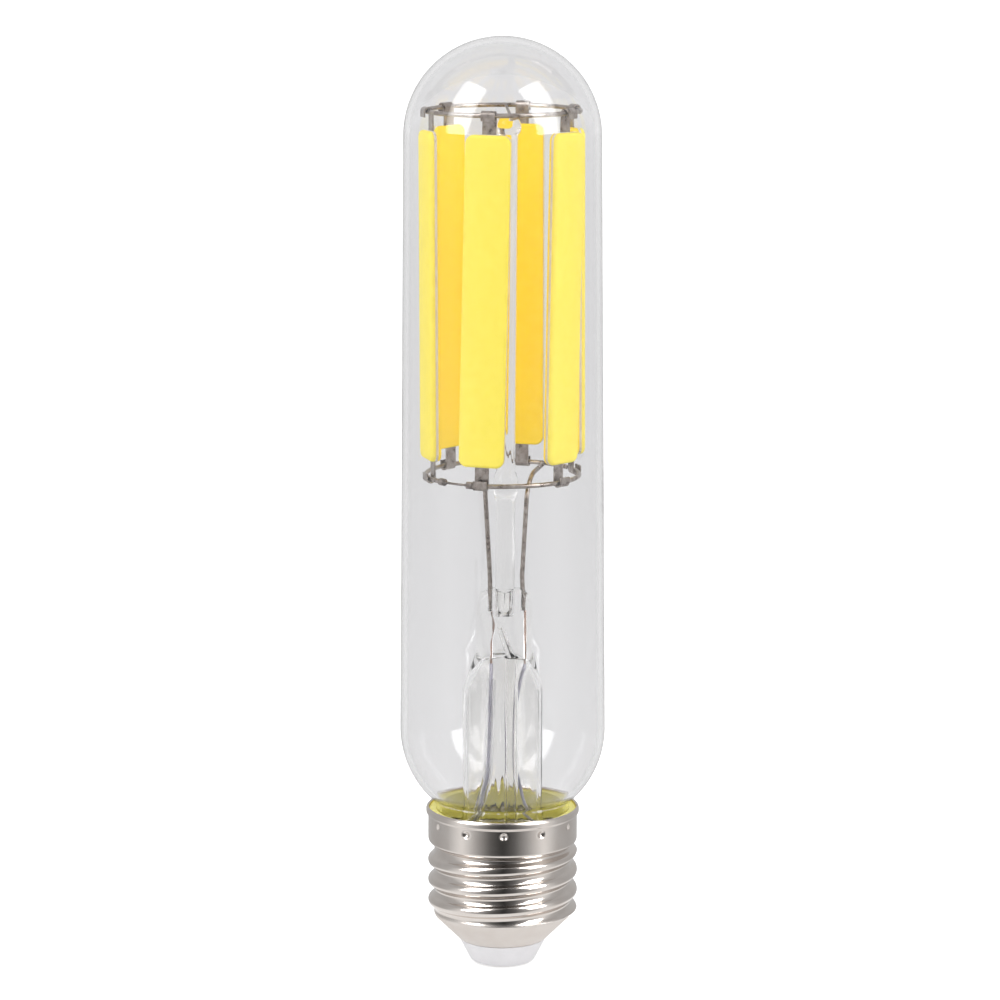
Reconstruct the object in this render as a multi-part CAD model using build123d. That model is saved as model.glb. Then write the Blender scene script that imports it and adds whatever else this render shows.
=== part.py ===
from build123d import *
from math import atan2, cos, degrees, pi, radians, sin, sqrt, tan
import os

os.makedirs("parts", exist_ok=True)

# Lengths are millimetres and angles degrees. The origin is the middle of the contact's flat bottom,
# +Z runs up the axis to the dome, and an azimuth is counted from -Y towards +X.

# Clearances
bond_gap = 0.03  # glass or cement against the piece that it is fused or cemented to
weld_gap = 0.03  # a wire against the piece that it is welded or soldered to
press_gap = 0.03  # cap pieces that are pressed into each other

# Rolled thread of the cap, size E27: seven turns to the inch, crest and root of one radius
thread_pitch = 25.4 / 7
thread_crest_radius = 13.15
thread_arc_radius = 1.025
thread_crest_height = 13.15  # of the crest on the +X side
thread_foot = 9.85
thread_head = 20.3
runout_height = 0.85
thread_sections = 35  # that the thread is lofted through, foot to head

# Cap shell
shell_wall = 0.3
waist_radius = 11.95
waist_height = 0.2
skirt_radius = 13.1
skirt_rise = 0.9
rim_height = 28.4
lip_height = 1.5
lip_foot = rim_height - lip_height
lip_overhang = 0.35
dimple_count = 12
dimple_azimuth = 1.0
dimple_drop = 2.55  # of the dimples' middles under the rim
dimple_height = rim_height - dimple_drop
dimple_ball_radius = 0.75
dimple_depth = 0.4
cone_top_radius = 12.1
cone_foot_radius = 7.7
cone_angle = 45.0
flange_width = 1.0

# Insulator and centre contact
contact_height = 0.3
contact_radius = 4.2
contact_edge_radius = 0.15
rivet_radius = 1.5
rivet_bore_radius = 0.4
rivet_bore_depth = 4.0
rivet_stand = 0.8
insulator_foot_radius = 5.6
insulator_height = 4.1
insulator_collar_radius = 7.1
insulator_collar_height = 1.5

# Glass envelope
glass_wall = 1.0
neck_radius = 11.7
neck_depth = 4.5  # of its foot under the cap's rim
neck_foot = rim_height - neck_depth
neck_blend_radius = 2.5
shoulder_radius = 17.1
shoulder_centre_radius = 0.82
shoulder_rise = 14.0  # of its arc's centre over the cap's rim
shoulder_height = rim_height + shoulder_rise
dome_radius = 16.98
tube_length = 103.5  # from the shoulder to the dome
dome_height = shoulder_height + tube_length

# Capping cement
cement_inset = 0.5  # how far the cement stops short of the neck's foot and of the rim
cement_foot = neck_foot + cement_inset
cement_head = rim_height - cement_inset

# Stem: flared tube with its press
stem_radius = 7.0
stem_wall = 0.9
stem_tube_head = 49.3
press_foot = 56.2
press_head = 67.2
press_width = 9.8
press_depth = 4.2
press_offset = 0.35
press_corner_radius = 2.8
press_edge_radius = 1.4
stem_cavity_head = 54.7
stem_cavity_width = 7.6
stem_cavity_depth = 2.6
stem_cavity_corner_radius = 1.2
blow_hole_radius = 0.7
blow_hole_height = 61.0
blow_hole_offset = -0.6

# Exhaust tube
exhaust_radius = 1.2
exhaust_bore_radius = 0.7
exhaust_offset = 1.5
exhaust_foot = 25.3

# Post
post_radius = 1.68
post_offset = 0.35
post_foot = 62.6
post_lean = 0.45
post_bead_drop = 4.8  # of the bead's foot under the lower ring
post_bead_height = 5.3
post_bead_radius = 2.2
post_blob_radius = 2.2
post_blob_drop = 2.8  # of the blob's middle under the upper ring

# Ring cage
ring_radius = 13.25
ring_wire_radius = 0.4
ring_rise = 4.4  # of the upper ring over the dome's foot
ring_spacing = 62.8
upper_ring_height = dome_height + ring_rise
lower_ring_height = upper_ring_height - ring_spacing
front_segment_start = -25.5
front_segment_end = 114.0
rear_segment_start = 121.0
rear_segment_end = 311.3
link_wire_radius = 0.2
link_collar_radius = 0.62
link_collar_grip = 0.8
link_collar_cap = 0.3

# Support wire between the upper ring and the post's blob
support_wire_radius = 0.25
support_front_offset = 3.4
support_middle_offset = 1.5
support_rear_offset = 0.6
support_sag = 1.45
support_straight = 2.6
support_bend = 8.0

# LED strips: azimuth of each and how far it leans sideways
strip_stands = ((-13, -1.3), (52, -1.6), (108, -0.5), (164, 0.0), (-132, -0.3), (-72, 0.5))
strip_width = 7.8
strip_corner_radius = 1.5
base_thickness = 0.4
base_margin = 0.05  # how far the base stands past the coats all round
outer_coat_depth = 0.85
inner_coat_depth = 0.6
outer_coat_edge_radius = 0.6
inner_coat_edge_radius = 0.4
chips_per_strip = 14
chip_length = 0.9
chip_width = 0.5
chip_depth = 0.15
chip_end_margin = 2.5

# Tabs of the strips, each hooked round its ring
tab_width = 2.4
tab_thickness = 0.25
tab_exposed = 3.15  # from the ring's wire centre to the strip's end
tab_lap = 1.6
tab_hook_return = 0.9
tab_grip_gap = 0.16

# Inner leads and seal wires
inner_lead_radius = 0.4
seal_wire_radius = 0.2
seal_wire_foot = 53.7
left_wire_offset = -1.92
right_wire_offset = 3.88
inner_lead_foot = 63.4
inner_lead_bend = 6.0
weld_offset = 0.25  # how far each inner lead stands to the left of its seal wire
left_lead_rise = 5.4  # before it turns to the front strip
right_lead_rise = 6.0  # before it leans out
right_lead_drop = 1.0  # of its bend under the lower ring
right_lead_lean = (3.4, 0.3)
right_lead_turn = (4.4, 2.0)
right_lead_weld = 0.12
left_lead_azimuth = -13.0
right_lead_azimuth = 145.0

# Outer leads and the sleeve on the left one
outer_lead_radius = 0.3
outer_lead_bend = 9.0
left_outer_route = ((-2.1, -0.2, 47.6), (-2.3, -0.5, 40.0), (-2.6, -1.3, 33.8), (-4.2, -2.4, 27.4))
right_outer_route = (
    (3.3, 0.9, 51.5),
    (2.5, 1.9, 47.1),
    (2.2, 2.6, 41.0),
    (2.3, 3.0, 34.4),
    (4.0, 2.4, 27.4),
)
outer_lead_drop = 23.4  # where the outer leads turn down beside the board
sleeve_bore_radius = 0.45
sleeve_radius = 0.8
sleeve_head_share = 0.45  # where the sleeve starts along the lead's first run
sleeve_foot_share = 0.5  # and where it ends along the last but one

# Driver in the cap
board_width = 17.0
board_thickness = 1.0
board_foot = 9.4
board_head = 21.2
pad_offset = 6.6  # of the outer leads' solder pads from the board's middle
pad_depth = 2.6  # how far the leads run down the board
capacitor_radius = 3.15
capacitor_height = 8.5
capacitor_offset = -3.6
capacitor_foot = 11.4
capacitor_lead_radius = 0.25
capacitor_lead_spacing = 2.5
capacitor_lead_drop = 1.2
capacitor_groove_height = 1.6
capacitor_groove_width = 0.8
capacitor_groove_depth = 0.35
lead_bend = 0.8  # of the parts' leads
lead_grip = 0.3  # how far a lead starts inside its part
choke_radius = 3.0
choke_height = 6.0
choke_flange = 0.9
choke_core_radius = 1.3
choke_winding_radius = 2.6
choke_offset = 3.9
choke_foot = 10.6
rectifier_width = 4.7
rectifier_height = 3.9
rectifier_depth = 1.6
rectifier_offset = -4.0
rectifier_middle = 12.6
driver_chip_width = 4.9
driver_chip_height = 3.9
driver_chip_depth = 1.4
driver_chip_offset = 4.6
driver_chip_middle = 14.6
chip_leg_width = 0.4
chip_leg_thickness = 0.2
chip_leg_reach = 0.9
resistor_radius = 1.4
resistor_length = 6.0
resistor_foot = 11.6
resistor_end_length = 1.4
resistor_end_slope = 0.4
resistor_waist_share = 0.85
resistor_lead_radius = 0.3
resistor_lead_rise = 1.3
resistor_lead_drop = 1.4
resistor_lead_bend = 1.2
resistor_lead_stand = 0.9  # of the lead's bend over the rivet
shell_wire_radius = 0.25
shell_wire_inset = 0.8  # of its solder pad from the board's side edge
shell_wire_foot = 16.6
shell_wire_waist_gap = 0.25
shell_wire_turn = 1.95  # how far above the waist it has reached the skirt
shell_wire_rise = 2.0  # along the board before it turns outwards
shell_wire_step = 0.8  # and what it climbs on the way past the board's edge
shell_wire_depth = 1.5  # how far under the cement's top it ends
shell_wire_bend = 2.5


def polar(radius, azimuth, height):
    return Vector(radius * sin(radians(azimuth)), -radius * cos(radians(azimuth)), height)


def turned_to(azimuth):
    # turns what stands on +X to the azimuth, so that local x is outward
    return Rot(0, 0, azimuth - 90)


def revolved(outline):
    return revolve(make_face(Plane.XZ * outline), axis=Axis.Z)


def closed_outline(points, radii):
    return FilletPolyline(*points, radius=radii, close=True)


def tube_ring(outer, inner, foot, head):
    return Pos(0, 0, foot) * extrude(Circle(outer) - Circle(inner), head - foot)


def bend_radii(points, largest):
    radii = []
    for before, corner, after in zip(points, points[1:], points[2:]):
        run_in = Vector(corner) - Vector(before)
        run_out = Vector(after) - Vector(corner)
        turn = radians(run_in.get_angle(run_out))
        radii.append(min(largest, 0.45 * min(run_in.length, run_out.length) / tan(turn / 2)))
    return radii


def swept_wire(points, radii, radius):
    path = FilletPolyline(*points, radius=radii)
    return sweep(Plane(origin=path @ 0, z_dir=path % 0) * Circle(radius), path=path)


def bent_wire(points, radius, bend):
    return swept_wire(points, bend_radii(points, bend), radius)


def straight_rod(foot, head, radius):
    axis = Vector(head) - Vector(foot)
    return extrude(Plane(origin=foot, z_dir=axis) * Circle(radius), axis.length)


def write(node, shape):
    solids = shape.solids()
    shape = solids[0] if len(solids) == 1 else Compound(children=list(solids))
    shape.label = node
    export_step(shape, f"parts/{node}.step")


# Screw cap

half_pitch = thread_pitch / 2
thread_depth = 2 * thread_arc_radius - sqrt((2 * thread_arc_radius) ** 2 - half_pitch**2)
thread_root_radius = thread_crest_radius - thread_depth
runout_foot = thread_foot - runout_height
runout_head = thread_head + runout_height


def thread_radius(offset, inset):
    # radius at a height off the nearest crest, for the sheet's face that lies inset below the outer one
    from_crest = abs((offset + half_pitch) % thread_pitch - half_pitch)
    crest_arc = thread_arc_radius - inset
    root_arc = thread_arc_radius + inset
    if from_crest <= half_pitch * crest_arc / (crest_arc + root_arc):
        return thread_crest_radius - thread_arc_radius + sqrt(crest_arc**2 - from_crest**2)
    from_root = half_pitch - from_crest
    return thread_root_radius + thread_arc_radius - sqrt(root_arc**2 - from_root**2)


def thread_section(height, inset, count=28):
    # the thread cut across its axis: a cam whose lobe turns once in a pitch, faded to a ring in the run-outs
    if height < thread_foot:
        ring = cone_top_radius
        share = (thread_foot - height) / runout_height
    else:
        ring = waist_radius
        share = max(0, (height - thread_head) / runout_height)
    fade = share**2 * (3 - 2 * share)
    points = []
    for step in range(count):
        turn = step / count
        radius = thread_radius(height - thread_crest_height - thread_pitch * turn, inset)
        radius += fade * (ring - inset - radius)
        points.append(Vector(radius * cos(2 * pi * turn), radius * sin(2 * pi * turn), height))
    return Wire([Edge.make_spline(points, periodic=True)])


def thread_solid(inset):
    step = (runout_head - runout_foot) / (thread_sections - 1)
    heights = [runout_foot + number * step for number in range(1, thread_sections - 1)]
    foot = Wire.make_circle(cone_top_radius - inset, Plane((0, 0, runout_foot)))
    head = Wire.make_circle(waist_radius - inset, Plane((0, 0, runout_head)))
    return Solid.make_loft([foot, *[thread_section(height, inset) for height in heights], head], ruled=True)


def make_cap_shell():
    wall = thread_solid(0) - thread_solid(shell_wall)
    skirt_foot = runout_head + waist_height + skirt_rise
    lip_radius = skirt_radius + lip_overhang
    skirt_line = FilletPolyline(
        (waist_radius, runout_head),
        (waist_radius, runout_head + waist_height),
        (skirt_radius, skirt_foot),
        (skirt_radius, lip_foot),
        (lip_radius, lip_foot + lip_overhang),
        (lip_radius, rim_height - lip_overhang),
        (skirt_radius, rim_height),
        radius=[0.15, 0.6, 0.3, 0.4, 0.4],
    )
    skirt = revolved(skirt_line.offset_2d(shell_wall, side=Side.LEFT, closed=True))
    ball_radius = skirt_radius + dimple_ball_radius - dimple_depth
    for step in range(dimple_count):
        azimuth = dimple_azimuth + step * 360 / dimple_count
        centre = Pos(polar(ball_radius, azimuth, dimple_height))
        bump = centre * Sphere(dimple_ball_radius + shell_wall)
        bump &= Pos(0, 0, dimple_height) * Cylinder(skirt_radius - shell_wall / 2, 4 * dimple_ball_radius)
        skirt = skirt + bump - centre * Sphere(dimple_ball_radius)

    cone_line = FilletPolyline(
        (cone_top_radius, runout_foot),
        (cone_top_radius, cone_top),
        (cone_foot_radius, cone_foot),
        (cone_foot_radius - flange_width, cone_foot),
        radius=[0.3, 0.35],
    )
    cone = revolved(cone_line.offset_2d(shell_wall, side=Side.RIGHT, closed=True))
    return wall + skirt + cone


cone_foot = contact_height + insulator_height
cone_top = cone_foot + (cone_top_radius - cone_foot_radius) * tan(radians(cone_angle))


def make_insulator():
    grip_radius = cone_foot_radius - flange_width - press_gap
    flange_head = cone_foot + shell_wall + press_gap
    return revolved(
        closed_outline(
            [
                (rivet_radius + press_gap, contact_height),
                (insulator_foot_radius, contact_height),
                (cone_foot_radius, cone_foot - press_gap),
                (grip_radius, cone_foot - press_gap),
                (grip_radius, flange_head),
                (insulator_collar_radius, flange_head),
                (insulator_collar_radius, flange_head + insulator_collar_height),
                (rivet_radius + press_gap, flange_head + insulator_collar_height),
            ],
            [0, 0.8, 0.1, 0, 0, 0, 0.3, 0],
        )
    )


rivet_head = cone_foot + shell_wall + press_gap + insulator_collar_height + rivet_stand


def make_contact():
    button = closed_outline(
        [
            (0, 0),
            (contact_radius, 0),
            (contact_radius, contact_height),
            (rivet_radius, contact_height),
            (rivet_radius, rivet_head),
            (0, rivet_head),
        ],
        [0, contact_edge_radius, 0.1, 0, 0.3, 0],
    )
    bore = Pos(0, 0, rivet_head - rivet_bore_depth) * extrude(Circle(rivet_bore_radius), rivet_bore_depth)
    return revolved(button) - bore


# Glass envelope and the cement at its neck

blend_centre_radius = neck_radius + neck_blend_radius
blend_height = shoulder_height - sqrt(
    (shoulder_radius + neck_blend_radius) ** 2 - (blend_centre_radius - shoulder_centre_radius) ** 2
)
shoulder_turn = degrees(
    atan2(shoulder_height - blend_height, blend_centre_radius - shoulder_centre_radius)
)


def envelope_outline(inset):
    # from the neck's foot to the tip: neck, blend, shoulder, tube and dome
    blend = neck_blend_radius + inset
    shoulder = shoulder_radius - inset
    dome = dome_radius - inset
    tube_foot = (shoulder_centre_radius + shoulder, shoulder_height)
    return [
        Line((neck_radius - inset, neck_foot), (neck_radius - inset, blend_height)),
        CenterArc((blend_centre_radius, blend_height), blend, 180, -shoulder_turn),
        CenterArc((shoulder_centre_radius, shoulder_height), shoulder, -shoulder_turn, shoulder_turn),
        Line(tube_foot, (dome, dome_height)),
        CenterArc((0, dome_height), dome, 0, 90),
    ]


def envelope_solid(inset):
    outline = envelope_outline(inset)
    tip = (0, dome_height + dome_radius - inset)
    closing = [Line(tip, (0, neck_foot)), Line((0, neck_foot), (neck_radius - inset, neck_foot))]
    return revolved(Curve() + outline + closing)


def make_cement():
    skirt_bore = skirt_radius - shell_wall - bond_gap
    ring = tube_ring(skirt_bore, neck_radius - glass_wall, cement_foot, cement_head)
    ring -= envelope_solid(-bond_gap)
    ball_radius = skirt_radius + dimple_ball_radius - dimple_depth
    for step in range(dimple_count):
        azimuth = dimple_azimuth + step * 360 / dimple_count
        ring -= Pos(polar(ball_radius, azimuth, dimple_height)) * Sphere(
            dimple_ball_radius + shell_wall + bond_gap
        )
    return ring - shell_wire_groove()


# Stem, post and exhaust tube

stem_flare_radius = neck_radius - glass_wall - stem_radius


def press_plane(height):
    return Plane((press_offset, 0, height))


def post_place():
    return Pos(post_offset, 0, post_foot) * Rot(0, post_lean, 0)


def make_post():
    bead_foot = lower_ring_height - post_bead_drop - post_foot
    bead_head = bead_foot + post_bead_height
    blob_middle = upper_ring_height - post_blob_drop - post_foot
    blob_foot = blob_middle - sqrt(post_blob_radius**2 - post_radius**2)
    edge = Curve() + [
        Line((0, 0), (0.3 * post_radius, 0)),
        Spline((0.3 * post_radius, 0), (post_radius, 0.7 * post_radius), tangents=((1, 0), (0, 1))),
        Line((post_radius, 0.7 * post_radius), (post_radius, bead_foot)),
        ThreePointArc(
            (post_radius, bead_foot),
            (post_bead_radius, (bead_foot + bead_head) / 2),
            (post_radius, bead_head),
        ),
        Line((post_radius, bead_head), (post_radius, blob_foot)),
        ThreePointArc(
            (post_radius, blob_foot),
            (post_blob_radius, blob_middle),
            (0, blob_middle + post_blob_radius),
        ),
        Line((0, blob_middle + post_blob_radius), (0, 0)),
    ]
    post = post_place() * revolved(edge)
    return post - bent_wire(support_points(), support_wire_radius + bond_gap, support_bend)


def make_stem():
    flare_centre = (stem_radius + stem_flare_radius, neck_foot + stem_flare_radius)
    bore = stem_radius - stem_wall
    tube_edge = Curve() + [
        Line((bore, stem_tube_head), (stem_radius, stem_tube_head)),
        Line((stem_radius, stem_tube_head), (stem_radius, flare_centre[1])),
        CenterArc(flare_centre, stem_flare_radius, 180, 90),
        Line((flare_centre[0], neck_foot), (neck_radius, neck_foot)),
        Line((neck_radius, neck_foot), (neck_radius, neck_foot - stem_wall)),
        Line((neck_radius, neck_foot - stem_wall), (flare_centre[0], neck_foot - stem_wall)),
        CenterArc(flare_centre, stem_flare_radius + stem_wall, 180, 90),
        Line((bore, flare_centre[1]), (bore, stem_tube_head)),
    ]
    tube = revolved(tube_edge)
    press_foot_face = press_plane(press_foot) * RectangleRounded(press_width, press_depth, press_edge_radius)
    shoulder = loft([Pos(0, 0, stem_tube_head) * Circle(stem_radius), press_foot_face])
    cavity_head = press_plane(stem_cavity_head) * RectangleRounded(
        stem_cavity_width, stem_cavity_depth, stem_cavity_corner_radius
    )
    cavity = loft([Pos(0, 0, stem_tube_head) * Circle(bore), cavity_head])
    stem = tube + (shoulder - cavity) + make_press()
    for offset in (left_wire_offset, right_wire_offset):
        stem -= Pos(offset, 0, seal_wire_foot) * extrude(
            Circle(seal_wire_radius + bond_gap), inner_lead_foot - seal_wire_foot
        )
    for points in (left_lead_points(), right_lead_points()):
        stem -= bent_wire(points, inner_lead_radius + bond_gap, inner_lead_bend)
    stem -= post_place() * Pos(0, 0, -bond_gap) * extrude(Circle(post_radius + bond_gap), press_head)
    return stem - blow_hole()


def make_press():
    height = press_head - press_foot
    side = Plane.XZ * Pos(press_offset, press_foot + height / 2) * Rectangle(press_width, height)
    block = extrude(side, press_depth / 2, both=True)
    top_corners = block.edges().filter_by(Axis.Y).group_by(Axis.Z)[-1]
    block = fillet(top_corners, press_corner_radius)
    rim = [
        edge
        for face in block.faces().filter_by(Axis.Y)
        for edge in face.edges()
        if edge.center().Z > press_foot + 0.01
    ]
    return fillet(rim, press_edge_radius)


def blow_hole():
    # the exhaust passage, from the tube's bore to the press's front face
    inner_end = (blow_hole_offset, 0, blow_hole_height)
    rise = straight_rod((exhaust_offset, 0, stem_cavity_head), inner_end, exhaust_bore_radius)
    front = straight_rod(inner_end, (blow_hole_offset, -press_depth, blow_hole_height), blow_hole_radius)
    return rise + front + Pos(inner_end) * Sphere(blow_hole_radius)


def make_exhaust_tube():
    tube = extrude(Circle(exhaust_radius) - Circle(exhaust_bore_radius), stem_cavity_head - exhaust_foot)
    tip = Sphere(exhaust_radius) - Sphere(exhaust_bore_radius)
    tip -= Pos(0, 0, exhaust_radius) * Box(3 * exhaust_radius, 3 * exhaust_radius, 2 * exhaust_radius)
    return Pos(exhaust_offset, 0, exhaust_foot) * (tube + tip)


# Ring cage


def arc_degrees(length):
    return degrees(length / ring_radius)


def ring_arc(wire_radius, height, start, end):
    section = Plane.XZ * Pos(ring_radius, height) * Circle(wire_radius)
    return turned_to(start) * revolve(section, axis=Axis.Z, revolution_arc=end - start)


def make_link():
    rear_end = rear_segment_end - 360
    cap = arc_degrees(link_collar_cap)
    grip = arc_degrees(link_collar_grip)
    slack = arc_degrees(weld_gap)
    link = ring_arc(link_wire_radius, lower_ring_height, rear_end + cap / 2, front_segment_start - cap / 2)
    link += ring_arc(link_collar_radius, lower_ring_height, rear_end - grip, rear_end + cap)
    link += ring_arc(
        link_collar_radius, lower_ring_height, front_segment_start - cap, front_segment_start + grip
    )
    bore = ring_wire_radius + weld_gap
    link -= ring_arc(bore, lower_ring_height, rear_end - 2 * grip, rear_end + slack)
    return link - ring_arc(
        bore, lower_ring_height, front_segment_start - slack, front_segment_start + 2 * grip
    )


def support_points():
    reach = ring_radius - ring_wire_radius - support_wire_radius - weld_gap
    front = -sqrt(reach**2 - support_front_offset**2)
    rear = sqrt(reach**2 - support_rear_offset**2)
    return [
        (support_front_offset, front, upper_ring_height),
        (support_middle_offset, -support_straight, upper_ring_height - support_sag),
        (support_middle_offset, support_straight, upper_ring_height - support_sag),
        (support_rear_offset, rear, upper_ring_height),
    ]


# LED strips, each built on +X with its outer face outwards

ring_grip = ring_wire_radius + tab_grip_gap
base_face = ring_radius - ring_grip  # the tabs lap on the base's inner face
strip_length = upper_ring_height - lower_ring_height - 2 * tab_exposed
strip_middle = (upper_ring_height + lower_ring_height) / 2


def strip_place(azimuth, lean):
    return turned_to(azimuth) * Pos(0, 0, strip_middle) * Rot(lean, 0, 0)


def strip_slab(distance, depth, margin):
    outline = RectangleRounded(
        strip_width - 2 * margin, strip_length - 2 * margin, strip_corner_radius - margin
    )
    return extrude(Plane.YZ.offset(distance) * outline, depth)


def make_outer_coat():
    slab = strip_slab(base_face + base_thickness, outer_coat_depth, base_margin)
    rim = slab.faces().sort_by(Axis.X)[-1].edges()
    return fillet(rim, outer_coat_edge_radius) - make_chips()


def make_inner_coat():
    slab = strip_slab(base_face - inner_coat_depth, inner_coat_depth, base_margin)
    rim = slab.faces().sort_by(Axis.X)[0].edges()
    return fillet(rim, inner_coat_edge_radius) - make_tab(1) - make_tab(-1)


def make_chips():
    spacing = (strip_length - 2 * chip_end_margin) / (chips_per_strip - 1)
    chip = Pos(base_face + base_thickness + chip_depth / 2, 0, 0) * Box(chip_depth, chip_width, chip_length)
    foot = chip_end_margin - strip_length / 2
    return Compound(children=[Pos(0, 0, foot + step * spacing) * chip for step in range(chips_per_strip)])


def make_tab(side):
    # side is 1 at the upper ring and -1 at the lower: a leg on the base and a hook round the wire
    middle = ring_grip + tab_thickness / 2
    leg = ring_radius - middle
    ring = side * (upper_ring_height - lower_ring_height) / 2
    lap_end = side * (strip_length / 2 - tab_lap)
    path = Curve() + [
        Line((leg, 0, lap_end), (leg, 0, ring)),
        ThreePointArc((leg, 0, ring), (ring_radius, 0, ring + side * middle), (leg + 2 * middle, 0, ring)),
        Line((leg + 2 * middle, 0, ring), (leg + 2 * middle, 0, ring - side * tab_hook_return)),
    ]
    section = Plane((leg, 0, lap_end), x_dir=(1, 0, 0), z_dir=(0, 0, side))
    return sweep(section * Rectangle(tab_thickness, tab_width), path=path)


# Lead wires


def left_lead_points():
    # up from the press, then forward to the hook of the front strip's lower tab
    hook = ring_grip + tab_thickness
    stop = hook + weld_gap
    foot = Vector(left_wire_offset - weld_offset, 0, inner_lead_foot)
    bend = foot + Vector(0, 0, left_lead_rise)
    ring = polar(ring_radius, left_lead_azimuth, lower_ring_height)
    way = (ring - bend).normalized()
    return [foot, bend, ring - way * stop]


def right_lead_points():
    # up beside the post, then out to the rear segment
    stop = ring_radius - ring_wire_radius - weld_gap - right_lead_weld
    return [
        Vector(right_wire_offset - weld_offset, 0, inner_lead_foot),
        Vector(*right_lead_lean, inner_lead_foot + right_lead_rise),
        Vector(*right_lead_turn, lower_ring_height - right_lead_drop),
        polar(stop, right_lead_azimuth, lower_ring_height),
    ]


def board_face(side, radius):
    # where the middle of a wire lies that is soldered on the board's front (-1) or back (1)
    return side * (board_thickness / 2 + radius + weld_gap)


def left_outer_points():
    face = board_face(-1, outer_lead_radius)
    return [
        Vector(left_wire_offset, 0, seal_wire_foot - weld_gap),
        *map(Vector, left_outer_route),
        Vector(-pad_offset, face, outer_lead_drop),
        Vector(-pad_offset, face, board_head - pad_depth),
    ]


def right_outer_points():
    face = board_face(1, outer_lead_radius)
    return [
        Vector(right_wire_offset, 0, seal_wire_foot - weld_gap),
        *map(Vector, right_outer_route),
        Vector(pad_offset, face, outer_lead_drop),
        Vector(pad_offset, face, board_head - pad_depth),
    ]


def sleeve_points():
    lead = left_outer_points()
    head = lead[0] + (lead[1] - lead[0]) * sleeve_head_share
    foot = lead[-3] + (lead[-2] - lead[-3]) * sleeve_foot_share
    return [head, *lead[1:-2], foot]


def make_sleeve():
    points = sleeve_points()
    radii = bend_radii(left_outer_points(), outer_lead_bend)[: len(points) - 2]
    return swept_wire(points, radii, sleeve_radius) - swept_wire(points, radii, sleeve_bore_radius)


# Driver


def shell_wire_points():
    # from the board's edge through the waist, then up between the skirt and the neck
    face = board_face(-1, shell_wire_radius)
    edge = board_width / 2
    waist = waist_radius - shell_wall - shell_wire_radius - shell_wire_waist_gap
    waist_top = runout_head + waist_height
    wall = skirt_radius - shell_wall - shell_wire_radius - weld_gap
    between_dimples = dimple_azimuth + 2.5 * 360 / dimple_count
    return [
        Vector(edge - shell_wire_inset, face, shell_wire_foot),
        Vector(edge - shell_wire_inset, face, shell_wire_foot + shell_wire_rise),
        Vector(edge + 2 * shell_wire_radius, face, shell_wire_foot + shell_wire_rise + shell_wire_step),
        polar(waist, between_dimples, waist_top),
        polar(wall, between_dimples, waist_top + shell_wire_turn),
        polar(wall, between_dimples, cement_head - shell_wire_depth),
    ]


def shell_wire_groove():
    return bent_wire(shell_wire_points(), shell_wire_radius + bond_gap, shell_wire_bend)


def board_part(offset, depth, side):
    # place of a part that lies on the board: x across, y away from the board, z up
    return Pos(offset, side * (board_thickness / 2 + depth), 0)


def make_board():
    middle = (board_foot + board_head) / 2
    board = Pos(0, 0, middle) * Box(board_width, board_thickness, board_head - board_foot)
    return fillet(board.edges().filter_by(Axis.Y), 0.8)


def make_capacitor():
    groove = capacitor_groove_height
    case = closed_outline(
        [
            (0, 0),
            (capacitor_radius, 0),
            (capacitor_radius, groove - capacitor_groove_width / 2),
            (capacitor_radius - capacitor_groove_depth, groove),
            (capacitor_radius, groove + capacitor_groove_width / 2),
            (capacitor_radius, capacitor_height),
            (0, capacitor_height),
        ],
        [0, 0.3, 0.15, 0.2, 0.15, 0.4, 0],
    )
    depth = capacitor_radius + weld_gap
    can = board_part(capacitor_offset, depth, -1) * Pos(0, 0, capacitor_foot) * revolved(case)
    for side in (-1, 1):
        x = capacitor_offset + side * capacitor_lead_spacing / 2
        y = -(board_thickness / 2 + depth)
        can += bent_wire(
            [
                (x, y, capacitor_foot + lead_grip),
                (x, y, capacitor_foot - capacitor_lead_drop),
                (x, -board_thickness / 2 - weld_gap, capacitor_foot - capacitor_lead_drop),
            ],
            capacitor_lead_radius,
            lead_bend,
        )
    return can


def choke_place():
    return board_part(choke_offset, choke_radius + weld_gap, -1) * Pos(0, 0, choke_foot)


def make_choke_core():
    core = extrude(Circle(choke_core_radius), choke_height)
    core += extrude(Circle(choke_radius), choke_flange)
    core += Pos(0, 0, choke_height - choke_flange) * extrude(Circle(choke_radius), choke_flange)
    return choke_place() * core


def make_choke_winding():
    turns = tube_ring(
        choke_winding_radius, choke_core_radius + weld_gap, choke_flange + weld_gap,
        choke_height - choke_flange - weld_gap,
    )
    return choke_place() * turns


def make_chip_package(width, height, depth, offset, middle, legs):
    # a body with legs on its two upright sides, soldered on the board's back
    body = chamfer(Box(width - 2 * chip_leg_reach, depth, height).edges().filter_by(Axis.Z), 0.2)
    spacing = height / legs
    for side in (-1, 1):
        for step in range(legs):
            foot = Pos(
                side * (width / 2 - chip_leg_reach / 2),
                -depth / 2 + chip_leg_thickness / 2,
                (step - (legs - 1) / 2) * spacing,
            )
            body += foot * Box(chip_leg_reach + lead_grip, chip_leg_thickness, chip_leg_width)
    return board_part(offset, depth / 2, 1) * Pos(0, 0, middle) * body


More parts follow.
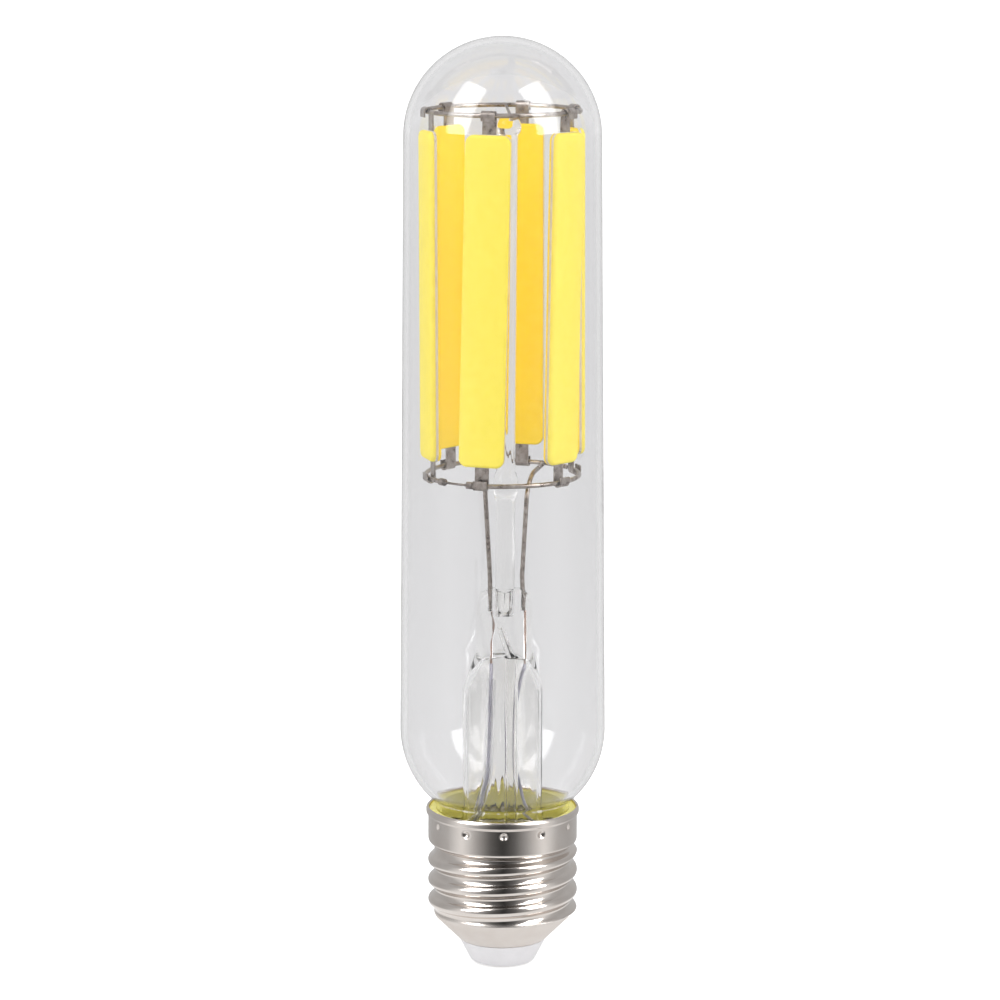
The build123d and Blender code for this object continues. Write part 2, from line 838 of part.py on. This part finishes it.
def make_resistor():
    # the body stands behind the board, with one lead on the board and one in the contact's bore
    depth = board_thickness / 2 + resistor_radius + weld_gap
    waist = resistor_waist_share * resistor_radius
    outline = closed_outline(
        [
            (0, 0),
            (resistor_radius, 0),
            (resistor_radius, resistor_end_length - resistor_end_slope / 2),
            (waist, resistor_end_length + resistor_end_slope / 2),
            (waist, resistor_length - resistor_end_length - resistor_end_slope / 2),
            (resistor_radius, resistor_length - resistor_end_length + resistor_end_slope / 2),
            (resistor_radius, resistor_length),
            (0, resistor_length),
        ],
        [0, 0.5, 0.2, 0.2, 0.2, 0.2, 0.5, 0],
    )
    body = Pos(0, depth, resistor_foot) * revolved(outline)
    top = resistor_foot + resistor_length
    body += bent_wire(
        [
            (0, depth, top - lead_grip),
            (0, depth, top + resistor_lead_rise),
            (0, board_thickness / 2 + weld_gap, top + resistor_lead_rise),
        ],
        resistor_lead_radius,
        lead_bend,
    )
    bore_foot = rivet_head - rivet_bore_depth
    return body + bent_wire(
        [
            (0, depth, resistor_foot + lead_grip),
            (0, depth, resistor_foot - resistor_lead_drop),
            (0, 0, rivet_head + resistor_lead_stand),
            (0, 0, bore_foot + resistor_lead_radius),
        ],
        resistor_lead_radius,
        resistor_lead_bend,
    )


def main():
    write("cap_shell", make_cap_shell())
    write("cap_insulator", make_insulator())
    write("centre_contact", make_contact())
    write("capping_cement", make_cement())
    write("glass_envelope", envelope_solid(0) - envelope_solid(glass_wall))
    write("glass_stem", make_stem())
    write("exhaust_tube", make_exhaust_tube())
    write("stem_post", make_post())

    write("upper_ring", ring_arc(ring_wire_radius, upper_ring_height, 0, 360))
    for name, start, end in (
        ("lower_ring_front", front_segment_start, front_segment_end),
        ("lower_ring_rear", rear_segment_start, rear_segment_end),
    ):
        write(name, ring_arc(ring_wire_radius, lower_ring_height, start, end))
    write("ring_link", make_link())
    write("support_wire", bent_wire(support_points(), support_wire_radius, support_bend))

    pieces = {
        "base": strip_slab(base_face, base_thickness, 0),
        "outer_phosphor": make_outer_coat(),
        "inner_phosphor": make_inner_coat(),
        "top_tab": make_tab(1),
        "bottom_tab": make_tab(-1),
    }
    for number, (azimuth, lean) in enumerate(strip_stands, start=1):
        for name, piece in pieces.items():
            write(f"strip_{number}_{name}", strip_place(azimuth, lean) * piece)
    rows = [strip_place(azimuth, lean) * make_chips() for azimuth, lean in strip_stands]
    write("led_chips", Compound(children=[chip for row in rows for chip in row.solids()]))

    write("inner_lead_left", bent_wire(left_lead_points(), inner_lead_radius, inner_lead_bend))
    write("inner_lead_right", bent_wire(right_lead_points(), inner_lead_radius, inner_lead_bend))
    for name, offset in (("left", left_wire_offset), ("right", right_wire_offset)):
        foot, head = (offset, 0, seal_wire_foot), (offset, 0, inner_lead_foot - weld_gap)
        write(f"seal_wire_{name}", straight_rod(foot, head, seal_wire_radius))
    write("outer_lead_left", bent_wire(left_outer_points(), outer_lead_radius, outer_lead_bend))
    write("outer_lead_right", bent_wire(right_outer_points(), outer_lead_radius, outer_lead_bend))
    write("lead_sleeve", make_sleeve())

    write("driver_board", make_board())
    write("smoothing_capacitor", make_capacitor())
    write("choke_core", make_choke_core())
    write("choke_winding", make_choke_winding())
    write(
        "bridge_rectifier",
        make_chip_package(
            rectifier_width, rectifier_height, rectifier_depth, rectifier_offset, rectifier_middle, 2
        ),
    )
    write(
        "driver_chip",
        make_chip_package(
            driver_chip_width, driver_chip_height, driver_chip_depth, driver_chip_offset,
            driver_chip_middle, 4,
        ),
    )
    write("fusible_resistor", make_resistor())
    write("shell_wire", bent_wire(shell_wire_points(), shell_wire_radius, shell_wire_bend))


main()
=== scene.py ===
import math

import bpy
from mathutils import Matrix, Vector


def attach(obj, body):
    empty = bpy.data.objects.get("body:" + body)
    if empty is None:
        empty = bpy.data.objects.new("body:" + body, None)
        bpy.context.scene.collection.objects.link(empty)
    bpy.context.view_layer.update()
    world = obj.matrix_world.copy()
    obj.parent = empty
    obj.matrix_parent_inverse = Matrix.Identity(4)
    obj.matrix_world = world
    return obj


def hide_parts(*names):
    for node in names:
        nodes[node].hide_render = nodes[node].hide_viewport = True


scene = bpy.context.scene
mm = 0.001

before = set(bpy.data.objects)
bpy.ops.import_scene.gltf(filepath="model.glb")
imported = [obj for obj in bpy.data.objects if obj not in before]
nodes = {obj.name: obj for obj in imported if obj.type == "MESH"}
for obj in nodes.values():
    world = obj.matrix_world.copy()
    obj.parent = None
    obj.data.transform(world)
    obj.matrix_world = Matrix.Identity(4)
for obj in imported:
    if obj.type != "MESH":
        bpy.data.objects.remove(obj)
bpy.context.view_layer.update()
bpy.ops.object.select_all(action="DESELECT")
print("loaded", len(nodes), "nodes")


# Small helpers for materials


def newMaterial(name):
    material = bpy.data.materials.new(name)
    material.use_nodes = True
    tree = material.node_tree
    tree.nodes.clear()
    output = tree.nodes.new("ShaderNodeOutputMaterial")
    shader = tree.nodes.new("ShaderNodeBsdfPrincipled")
    tree.links.new(shader.outputs["BSDF"], output.inputs["Surface"])
    coords = tree.nodes.new("ShaderNodeTexCoord")
    return material, tree, shader, coords.outputs["Object"]


def setSockets(shader, values):
    for socket, value in values.items():
        shader.inputs[socket].default_value = value


def addMath(tree, operation, *values):
    # each value is a number or another node's output
    node = tree.nodes.new("ShaderNodeMath")
    node.operation = operation
    for socket, value in zip(node.inputs, values):
        if isinstance(value, bpy.types.NodeSocket):
            tree.links.new(value, socket)
        else:
            socket.default_value = value
    return node.outputs["Value"]


def addRange(tree, value, start, end, curve="LINEAR"):
    node = tree.nodes.new("ShaderNodeMapRange")
    node.interpolation_type = curve
    setSockets(node, {"From Min": start[0], "From Max": start[1], "To Min": end[0], "To Max": end[1]})
    tree.links.new(value, node.inputs["Value"])
    return node.outputs["Result"]


def addNoise(tree, place, scale, detail=3.0, stretch=(1, 1, 1)):
    mapping = tree.nodes.new("ShaderNodeMapping")
    mapping.inputs["Scale"].default_value = stretch
    tree.links.new(place, mapping.inputs["Vector"])
    noise = tree.nodes.new("ShaderNodeTexNoise")
    setSockets(noise, {"Scale": scale, "Detail": detail})
    tree.links.new(mapping.outputs["Vector"], noise.inputs["Vector"])
    return noise.outputs["Fac"]


def addRamp(tree, factor, stops):
    ramp = tree.nodes.new("ShaderNodeValToRGB")
    elements = ramp.color_ramp.elements
    while len(elements) < len(stops):
        elements.new(0.5)
    for element, (position, color) in zip(elements, stops):
        element.position = position
        element.color = (*color, 1)
    tree.links.new(factor, ramp.inputs["Fac"])
    return ramp.outputs["Color"]


def addBump(tree, shader, height, distance):
    bump = tree.nodes.new("ShaderNodeBump")
    setSockets(bump, {"Strength": 1.0, "Distance": distance})
    tree.links.new(height, bump.inputs["Height"])
    tree.links.new(bump.outputs["Normal"], shader.inputs["Normal"])


def addBands(tree, place, bands):
    # brightness by the compass direction from the front, the same on the left as on the right
    axes = tree.nodes.new("ShaderNodeSeparateXYZ")
    tree.links.new(place, axes.inputs["Vector"])
    front = addMath(tree, "MULTIPLY", axes.outputs["Y"], -1)
    turn = addMath(tree, "ARCTAN2", axes.outputs["X"], front)
    share = addMath(tree, "DIVIDE", addMath(tree, "ABSOLUTE", turn), math.pi)
    return addRamp(tree, share, [(degrees / 180, (level, level, level)) for degrees, level in bands])


def addByHeight(tree, place, stops, span=200 * mm):
    # a value that changes with the height above the foot, from (height in mm, value) pairs
    axes = tree.nodes.new("ShaderNodeSeparateXYZ")
    tree.links.new(place, axes.inputs["Vector"])
    share = addMath(tree, "DIVIDE", axes.outputs["Z"], span)
    return addRamp(tree, share, [(height * mm / span, (value, value, value)) for height, value in stops])


def mixShaders(tree, factor, first, second):
    mix = tree.nodes.new("ShaderNodeMixShader")
    for socket, value in zip(mix.inputs, (factor, first, second)):
        tree.links.new(value, socket)
    return mix.outputs["Shader"]


def paint(material, names):
    for name in names:
        slots = pieces[name].data.materials
        slots.clear()
        slots.append(material)


# Smooth copies of every piece but those with flat faces and the two that are wrapped anew below

smoothing = {
    "weld": 0.001 * mm,
    "angle": 35,
    "wrappedAngle": 50,
    "flatParts": ["led_chips", "driver_board", "bridge_rectifier", "driver_chip"],
    "wrappedParts": ["cap_shell", "glass_envelope"],
}


def weldPoints(piece):
    bpy.context.view_layer.objects.active = piece
    bpy.ops.object.mode_set(mode="EDIT")
    bpy.ops.mesh.select_all(action="SELECT")
    bpy.ops.mesh.remove_doubles(threshold=smoothing["weld"])
    bpy.ops.object.mode_set(mode="OBJECT")


def smoothCopy(name):
    piece = bpy.data.objects.new(name + "_smooth", nodes[name].data.copy())
    scene.collection.objects.link(piece)
    bpy.ops.object.select_all(action="DESELECT")
    piece.select_set(True)
    weldPoints(piece)
    bpy.ops.object.shade_smooth_by_angle(angle=math.radians(smoothing["angle"]))
    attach(piece, "root")
    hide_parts(name)
    piece.select_set(False)
    return piece


pieces = dict(nodes)
for name in nodes:
    if name not in smoothing["flatParts"] + smoothing["wrappedParts"]:
        pieces[name] = smoothCopy(name)
print("smooth copies made")


# Cap shell: a grid wrapped round the axis, rolled into thread, skirt, dimples and lip

capShape = {
    "columns": 288,
    "wall": 0.3,
    "coneLine": [  # radius and height, from the foot up
        (6.7, 4.4), (7.5, 4.4), (7.7, 4.46), (7.9, 4.6), (9, 5.7), (10, 6.7), (11, 7.7), (11.95, 8.65),
    ],
    "coneTopRadius": 12.1,
    "waistRadius": 11.95,
    "threadRows": 72,
    "threadFoot": 9.85,
    "threadHead": 20.3,
    "runout": 0.85,
    "pitch": 25.4 / 7,
    "crestRadius": 13.15,
    "arcRadius": 1.025,
    "crestHeight": 13.15,
    "shoulderLine": [
        (11.95, 21.28), (12, 21.38), (12.2, 21.55), (12.75, 21.98), (12.95, 22.16), (13.06, 22.38),
    ],
    "skirtRadius": 13.1,
    "skirtFoot": 22.62,
    "skirtHead": 26.72,
    "skirtRows": 24,
    "lipLine": [
        (13.11, 26.85), (13.16, 26.96), (13.26, 27.06), (13.36, 27.17), (13.43, 27.3), (13.45, 27.46),
        (13.45, 27.8), (13.43, 27.95), (13.37, 28.1), (13.25, 28.26), (13.1, 28.4),
    ],
    "dimples": 12,
    "dimpleTurn": 1.0,  # degrees that the first one stands off the X axis
    "dimpleHeight": 25.85,
    "dimpleBall": 0.75,
    "dimpleDepth": 0.4,
}


def threadRadius(height, turn):
    # a crest arc and a root arc of one radius, which climb one pitch in a turn
    pitch, arc = capShape["pitch"], capShape["arcRadius"]
    half = pitch / 2
    depth = 2 * arc - math.sqrt(4 * arc**2 - half**2)
    offCrest = abs((height - capShape["crestHeight"] - pitch * turn + half) % pitch - half)
    if offCrest <= half / 2:
        return capShape["crestRadius"] - arc + math.sqrt(arc**2 - offCrest**2)
    return capShape["crestRadius"] - depth + arc - math.sqrt(arc**2 - (half - offCrest) ** 2)


def threadPoint(height, turn):
    # the thread fades into a plain ring at its foot and at its head
    if height < capShape["threadFoot"]:
        ring = capShape["coneTopRadius"]
        share = (capShape["threadFoot"] - height) / capShape["runout"]
    else:
        ring = capShape["waistRadius"]
        share = max(0, (height - capShape["threadHead"]) / capShape["runout"])
    fade = share**2 * (3 - 2 * share)
    radius = threadRadius(height, turn)
    return radius + fade * (ring - radius)


def skirtPoint(height, turn):
    # round dimples, pressed in by a ball
    ball, depth = capShape["dimpleBall"], capShape["dimpleDepth"]
    spacing = 1 / capShape["dimples"]
    offDimple = (turn - capShape["dimpleTurn"] / 360 + spacing / 2) % spacing - spacing / 2
    across = offDimple * 2 * math.pi * capShape["skirtRadius"]
    away = math.hypot(across, height - capShape["dimpleHeight"])
    dent = math.sqrt(ball**2 - away**2) - ball + depth if away < ball else 0
    return capShape["skirtRadius"] - max(0, dent)


def plainRows(line):
    return [(lambda height, turn, radius=radius: radius, height) for radius, height in line]


def evenRows(point, low, high, steps):
    return [(point, low + (high - low) * step / steps) for step in range(steps + 1)]


def capRows():
    bottom = capShape["threadFoot"] - capShape["runout"]
    top = capShape["threadHead"] + capShape["runout"]
    rows = plainRows(capShape["coneLine"])
    rows += evenRows(threadPoint, bottom, top, capShape["threadRows"])
    rows += plainRows(capShape["shoulderLine"])
    rows += evenRows(skirtPoint, capShape["skirtFoot"], capShape["skirtHead"], capShape["skirtRows"])
    return rows + plainRows(capShape["lipLine"])


def gridSteps(vertices, axis):
    # which column or row of the grid a place along the axis belongs to
    places = sorted({round(vertex.co[axis], 5) for vertex in vertices})
    return {place: index for index, place in enumerate(places)}


def wrapGrid(name, rows, columns, wall):
    # a flat grid wrapped round the axis, welded along its seam and given a wall inwards
    bpy.ops.object.select_all(action="DESELECT")
    bpy.ops.mesh.primitive_grid_add(
        x_subdivisions=columns, y_subdivisions=len(rows) - 1, size=1, location=(0, 0, 0)
    )
    shell = bpy.context.object
    shell.name = name
    columnOf = gridSteps(shell.data.vertices, 0)
    rowOf = gridSteps(shell.data.vertices, 1)
    for vertex in shell.data.vertices:
        turn = columnOf[round(vertex.co.x, 5)] / columns
        radiusAt, height = rows[rowOf[round(vertex.co.y, 5)]]
        radius = radiusAt(height, turn)
        angle = 2 * math.pi * turn
        vertex.co = Vector((radius * math.cos(angle), radius * math.sin(angle), height)) * mm
    weldPoints(shell)
    outward = sum(
        face.normal.x * face.center.x + face.normal.y * face.center.y for face in shell.data.polygons
    )
    if outward < 0:
        shell.data.flip_normals()
    solid = shell.modifiers.new("wall", "SOLIDIFY")
    solid.thickness = wall * mm
    solid.offset = -1
    bpy.ops.object.modifier_apply(modifier="wall")
    bpy.ops.object.shade_smooth_by_angle(angle=math.radians(smoothing["wrappedAngle"]))
    shell.select_set(False)
    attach(shell, "root")
    print(name, "wrapped,", len(shell.data.polygons), "faces")
    return shell


capShell = wrapGrid("capShell", capRows(), capShape["columns"], capShape["wall"])
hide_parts("cap_shell")
pieces["cap_shell"] = capShell


# Glass envelope: neck, shoulder, long tube and dome, blown in one

envelopeShape = {
    "columns": 192,
    "wall": 1.0,
    "neckFoot": 23.9,
    "neckRadius": 11.7,
    "neckRowDrop": 2,  # of one more row, under the foot of the blend
    "neckBlend": 2.5,
    "neckBlendSteps": 10,
    "shoulderCentre": (0.82, 42.4),
    "shoulderRadius": 17.1,
    "shoulderSteps": 26,
    "tubeSteps": 8,
    "domeHeight": 145.9,
    "domeRadius": 16.98,
    "domeSteps": 36,
}


def arcLine(centre, radius, start, end, steps):
    turns = [math.radians(start + (end - start) * step / steps) for step in range(steps + 1)]
    return [(centre[0] + radius * math.cos(turn), centre[1] + radius * math.sin(turn)) for turn in turns]


def straightLine(foot, head, steps):
    # the points between the two ends
    (x, z), (endX, endZ) = foot, head
    return [(x + (endX - x) * step / steps, z + (endZ - z) * step / steps) for step in range(1, steps)]


def envelopeRows():
    centre, radius = envelopeShape["shoulderCentre"], envelopeShape["shoulderRadius"]
    neck, blend = envelopeShape["neckRadius"], envelopeShape["neckBlend"]
    across = neck + blend - centre[0]
    drop = math.sqrt((radius + blend) ** 2 - across**2)
    lean = math.degrees(math.atan2(drop, across))
    blendHeight = centre[1] - drop
    head = (envelopeShape["domeRadius"], envelopeShape["domeHeight"])
    line = [(neck, envelopeShape["neckFoot"]), (neck, blendHeight - envelopeShape["neckRowDrop"])]
    line += arcLine((neck + blend, blendHeight), blend, 180, 180 - lean, envelopeShape["neckBlendSteps"])
    line += arcLine(centre, radius, -lean, 0, envelopeShape["shoulderSteps"])[1:]
    line += straightLine(line[-1], head, envelopeShape["tubeSteps"])
    line += arcLine((0, head[1]), head[0], 0, 90, envelopeShape["domeSteps"])
    return plainRows([(max(0, reach), height) for reach, height in line])


envelope = wrapGrid("envelope", envelopeRows(), envelopeShape["columns"], envelopeShape["wall"])
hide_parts("glass_envelope")
pieces["glass_envelope"] = envelope


# Camera

camera = {
    "distance": 657.6 * mm,  # from the bulb's axis, level
    "height": 201.1 * mm,
    "side": -0.45 * mm,
    "tilt": 10.2,  # down
    "lens": 138.6,
    "sensorWidth": 36,
    "clipEnd": 50,
}
cameraData = bpy.data.cameras.new("camera")
cameraData.lens = camera["lens"]
cameraData.sensor_width = camera["sensorWidth"]
cameraData.clip_end = camera["clipEnd"]
cameraObject = bpy.data.objects.new("camera", cameraData)
scene.collection.objects.link(cameraObject)
cameraObject.location = (camera["side"], -camera["distance"], camera["height"])
cameraObject.rotation_euler = (math.radians(90 - camera["tilt"]), 0, 0)
scene.camera = cameraObject
print("camera set")


# Studio: floor, softboxes and the room that the metal mirrors

studio = {
    "floorSize": 12.0,
    "floorColor": (0.8, 0.8, 0.8),
    "floorRoughness": 0.9,
    "floorGlow": 0.6,  # only as the camera sees it
    "floorGlowInGlass": (0.17, 0.38),  # near the bulb and far from it
    "floorGlowReach": (0.3, 3.0),  # how far near and far are
    "roomLight": 0.85,  # even light on the object
    # what the metal mirrors: a dark room in front, pale walls at the sides, as (degrees, brightness)
    "bands": [(0, 0.03), (18, 0.12), (36, 0.4), (62, 0.95), (88, 0.5), (112, 0.45), (180, 0.55)],
    "paleUnder": 0.95,  # the paper right under the cap, as the cone mirrors it
    "paleRadius": (28 * mm, 52 * mm),
    "boxCentre": (0, 0, 0.15),
    "boxDistance": 0.8,
    "boxSize": (0.42, 0.82),
    "boxTurn": 55.0,
    "boxRise": 32.0,
    "boxPower": 1.6,
    "gleamDistance": 0.78,
    "gleamPower": 5.0,  # of the same box as glass and metal mirror it
}
white = (1, 1, 1, 1)


def colorSocket(sockets, identifier):
    # a Mix node has sockets of one name for each kind of value
    return next(socket for socket in sockets if socket.identifier == identifier)


def mirroredFloor(tree, place, away):
    # the paper is pale round the foot and takes the room's bands further out
    blend = tree.nodes.new("ShaderNodeMix")
    blend.data_type = "RGBA"
    pale = studio["paleUnder"]
    colorSocket(blend.inputs, "A_Color").default_value = (pale, pale, pale, 1)
    spread = addRange(tree, away, studio["paleRadius"], (0, 1), "SMOOTHSTEP")
    tree.links.new(spread, colorSocket(blend.inputs, "Factor_Float"))
    tree.links.new(addBands(tree, place, studio["bands"]), colorSocket(blend.inputs, "B_Color"))
    mirrored = tree.nodes.new("ShaderNodeEmission")
    tree.links.new(colorSocket(blend.outputs, "Result_Color"), mirrored.inputs["Color"])
    return mirrored.outputs["Emission"]


def floorPaper():
    material, tree, shader, place = newMaterial("floorPaper")
    setSockets(shader, {
        "Base Color": (*studio["floorColor"], 1),
        "Roughness": studio["floorRoughness"],
        "Emission Color": white,
    })
    rays = tree.nodes.new("ShaderNodeLightPath").outputs
    length = tree.nodes.new("ShaderNodeVectorMath")
    length.operation = "LENGTH"
    tree.links.new(place, length.inputs[0])
    away = length.outputs["Value"]
    glassGlow = addRange(tree, away, studio["floorGlowReach"], studio["floorGlowInGlass"])
    inGlass = addMath(tree, "MULTIPLY", rays["Is Transmission Ray"], glassGlow)
    glow = addMath(tree, "MULTIPLY_ADD", rays["Is Camera Ray"], studio["floorGlow"], inGlass)
    tree.links.new(glow, shader.inputs["Emission Strength"])
    # a ray bent by glass counts as glossy too, so it is left out
    seen = addMath(tree, "MAXIMUM", rays["Is Camera Ray"], rays["Is Transmission Ray"])
    bounced = addMath(tree, "GREATER_THAN", rays["Is Glossy Ray"], seen)
    surface = mixShaders(tree, bounced, shader.outputs["BSDF"], mirroredFloor(tree, place, away))
    tree.links.new(surface, tree.nodes["Material Output"].inputs["Surface"])
    return material


bpy.ops.mesh.primitive_plane_add(size=studio["floorSize"], location=(0, 0, 0))
floor = bpy.context.object
floor.name = "floor"
floor.data.materials.append(floorPaper())


def lightRoom():
    # even light for the object, the bands where metal mirrors it, and white where it is seen
    world = bpy.data.worlds.new("studio")
    scene.world = world
    world.use_nodes = True
    tree = world.node_tree
    tree.nodes.clear()
    output = tree.nodes.new("ShaderNodeOutputWorld")
    rays = tree.nodes.new("ShaderNodeLightPath").outputs
    coords = tree.nodes.new("ShaderNodeTexCoord")
    room = tree.nodes.new("ShaderNodeBackground")
    setSockets(room, {"Color": white, "Strength": studio["roomLight"]})
    mirrored = tree.nodes.new("ShaderNodeBackground")
    tree.links.new(addBands(tree, coords.outputs["Generated"], studio["bands"]), mirrored.inputs["Color"])
    backdrop = tree.nodes.new("ShaderNodeBackground")
    setSockets(backdrop, {"Color": white})
    seen = addMath(tree, "MAXIMUM", rays["Is Camera Ray"], rays["Is Transmission Ray"])
    inGloss = mixShaders(
        tree, rays["Is Glossy Ray"], room.outputs["Background"], mirrored.outputs["Background"]
    )
    surface = mixShaders(tree, seen, inGloss, backdrop.outputs["Background"])
    tree.links.new(surface, output.inputs["Surface"])


lightRoom()


def addSoftbox(name, turn, power, distance):
    data = bpy.data.lights.new(name, "AREA")
    data.shape = "RECTANGLE"
    data.size, data.size_y = studio["boxSize"]
    data.energy = power
    box = bpy.data.objects.new(name, data)
    scene.collection.objects.link(box)
    rise = math.radians(studio["boxRise"])
    side = math.radians(turn)
    aim = Vector((math.sin(side) * math.cos(rise), -math.cos(side) * math.cos(rise), math.sin(rise)))
    box.location = Vector(studio["boxCentre"]) + aim * distance
    box.rotation_euler = aim.to_track_quat("Z", "Y").to_euler()
    return box


for side, turn in (("Left", -studio["boxTurn"]), ("Right", studio["boxTurn"])):
    box = addSoftbox("softbox" + side, turn, studio["boxPower"], studio["boxDistance"])
    box.visible_glossy = False
    gleam = addSoftbox("gleam" + side, turn, studio["gleamPower"], studio["gleamDistance"])
    gleam.visible_diffuse = False
print("studio set")


# Clear glass

glass = {
    "tint": (0.868, 0.866, 0.872, 1),
    "stemTint": (0.985, 0.983, 0.975, 1),
    "ior": 1.47,
    "stemIor": 1.3,
    "wave": 0.00002,
    "waveScale": 60,
    "waveDetail": 2,
}


def blownGlass(name, tint, ior):
    material, tree, shader, place = newMaterial(name)
    setSockets(shader, {"Base Color": tint, "Roughness": 0.0, "IOR": ior, "Transmission Weight": 1.0})
    addBump(tree, shader, addNoise(tree, place, glass["waveScale"], glass["waveDetail"]), glass["wave"])
    return material


paint(blownGlass("clearGlass", glass["tint"], glass["ior"]), ["glass_envelope"])
paint(blownGlass("stemGlass", glass["stemTint"], glass["stemIor"]), ["glass_stem", "exhaust_tube", "stem_post"])


# The other finishes: two close shades in a soft pattern, slightly uneven gloss and a faint relief

strips = range(1, 7)
metal = {"Metallic": 1.0}
glow = 0.32  # painted glow of the yellow coats, which are no lamp: this emission makes them look lit from within
outerYellow = ((0.93, 0.78, 0.07), (0.98, 0.83, 0.1))
innerYellow = ((0.94, 0.67, 0.01), (0.98, 0.73, 0.03))
mottle = {"scale": 400, "stretch": (1, 1, 1), "stops": (0.3, 0.7)}

finishes = {
    "nickelPlate": {
        "shades": ((0.75, 0.69, 0.645), (0.79, 0.74, 0.70)),
        "scale": 300,
        # dull on the cone, polished on the thread and brushed on the skirt
        "roughnessByHeight": [(3, 0.5), (9.2, 0.5), (9.8, 0.1), (21.5, 0.12), (22.5, 0.2), (28.5, 0.2)],
        "sockets": metal,
        "pieces": ["cap_shell"],
    },
    "insulatorWhite": {
        "shades": ((0.87, 0.86, 0.88), (0.92, 0.91, 0.93)),
        "roughness": (0.35, 0.5),
        "pieces": ["cap_insulator"],
    },
    "contactBrass": {
        "shades": ((0.6, 0.5, 0.33), (0.72, 0.62, 0.42)),
        "roughness": (0.2, 0.35),
        "sockets": metal,
        "pieces": ["centre_contact"],
    },
    "yellowCement": {
        "shades": ((0.8, 0.72, 0.12), (0.95, 0.9, 0.3)),
        "scale": 250,
        "roughness": (0.1, 0.3),
        "relief": 0.0001,
        # painted glow: an even emission brightens the cement, which sits in the cap's shade
        "sockets": {"Emission Color": (0.9, 0.8, 0.14, 1), "Emission Strength": 0.3},
        "pieces": ["capping_cement"],
    },
    "cageWire": {
        "shades": ((0.2, 0.165, 0.145), (0.5, 0.45, 0.41)),
        "scale": 900,
        "roughness": (0.2, 0.4),
        "sockets": metal,
        "pieces": [
            "upper_ring", "lower_ring_front", "lower_ring_rear", "support_wire",
            "inner_lead_left", "inner_lead_right", "shell_wire",
            *[f"strip_{number}_{end}_tab" for number in strips for end in ("top", "bottom")],
        ],
    },
    "linkCeramic": {
        "shades": ((0.12, 0.1, 0.09), (0.26, 0.22, 0.2)),
        "roughness": (0.2, 0.3),
        "pieces": ["ring_link"],
    },
    "sealWire": {
        "shades": ((0.3, 0.2, 0.16), (0.45, 0.3, 0.24)),
        "roughness": (0.3, 0.4),
        "sockets": {"Metallic": 0.8},
        "pieces": ["seal_wire_left", "seal_wire_right"],
    },
    "outerLead": {
        "shades": ((0.42, 0.4, 0.52), (0.6, 0.58, 0.7)),
        "roughness": (0.3, 0.45),
        "pieces": ["outer_lead_left", "outer_lead_right"],
    },
    "paleSleeve": {
        "shades": ((0.9, 0.9, 0.92), (0.97, 0.97, 0.98)),
        "roughness": (0.05, 0.15),
        "sockets": {"Transmission Weight": 0.9, "IOR": 1.2},
        "pieces": ["lead_sleeve"],
    },
    "outerPhosphor": {
        "shades": outerYellow,
        "scale": 700,
        "roughness": (0.5, 0.65),
        "relief": 0.00004,
        # painted glow: emission on an unlit coat
        "sockets": {"Emission Color": (*outerYellow[1], 1), "Emission Strength": glow},
        "pieces": [f"strip_{number}_outer_phosphor" for number in strips],
    },
    "innerPhosphor": {
        "shades": innerYellow,
        "scale": 700,
        "roughness": (0.5, 0.65),
        "relief": 0.00004,
        # painted glow: emission on an unlit coat
        "sockets": {"Emission Color": (*innerYellow[1], 1), "Emission Strength": glow},
        "pieces": [f"strip_{number}_inner_phosphor" for number in strips],
    },
    "stripBase": {
        "shades": ((0.86, 0.74, 0.62), (0.95, 0.88, 0.8)),
        "roughness": (0.4, 0.6),
        "pieces": [f"strip_{number}_base" for number in strips],
    },
    "ledChip": {
        "shades": ((0.7, 0.76, 0.8), (0.8, 0.85, 0.88)),
        "roughness": (0.2, 0.3),
        "pieces": ["led_chips"],
    },
    "boardGreen": {
        "shades": ((0.05, 0.2, 0.09), (0.08, 0.3, 0.14)),
        "roughness": (0.3, 0.45),
        "pieces": ["driver_board"],
    },
    "capacitorSleeve": {
        "shades": ((0.02, 0.02, 0.03), (0.05, 0.05, 0.07)),
        "roughness": (0.25, 0.35),
        "pieces": ["smoothing_capacitor"],
    },
    "ferrite": {
        "shades": ((0.06, 0.06, 0.065), (0.12, 0.12, 0.13)),
        "roughness": (0.6, 0.8),
        "pieces": ["choke_core"],
    },
    "copperWinding": {
        "shades": ((0.5, 0.2, 0.08), (0.75, 0.36, 0.17)),
        "scale": 200,
        "stretch": (1, 1, 30),
        "roughness": (0.2, 0.35),
        "sockets": metal,
        "pieces": ["choke_winding"],
    },
    "blackMoulding": {
        "shades": ((0.02, 0.02, 0.02), (0.05, 0.05, 0.05)),
        "roughness": (0.5, 0.65),
        "pieces": ["bridge_rectifier", "driver_chip"],
    },
    "resistorBody": {
        "shades": ((0.2, 0.36, 0.26), (0.3, 0.48, 0.36)),
        "roughness": (0.4, 0.55),
        "pieces": ["fusible_resistor"],
    },
}


def mottled(name, look):
    material, tree, shader, place = newMaterial(name)
    stretch = look.get("stretch", mottle["stretch"])
    pattern = addNoise(tree, place, look.get("scale", mottle["scale"]), stretch=stretch)
    color = addRamp(tree, pattern, list(zip(mottle["stops"], look["shades"])))
    tree.links.new(color, shader.inputs["Base Color"])
    if "roughnessByHeight" in look:
        roughness = addByHeight(tree, place, look["roughnessByHeight"])
    else:
        roughness = addRange(tree, pattern, (0, 1), look["roughness"])
    tree.links.new(roughness, shader.inputs["Roughness"])
    setSockets(shader, look.get("sockets", {}))
    if "relief" in look:
        addBump(tree, shader, pattern, look["relief"])
    return material


for name, look in finishes.items():
    paint(mottled(name, look), look["pieces"])
print("finishes set")


# Render settings that belong to the look

scene.view_settings.view_transform = "Standard"
scene.cycles.max_bounces = 20
scene.cycles.transmission_bounces = 20
scene.cycles.glossy_bounces = 6
scene.cycles.diffuse_bounces = 4

print("finished")
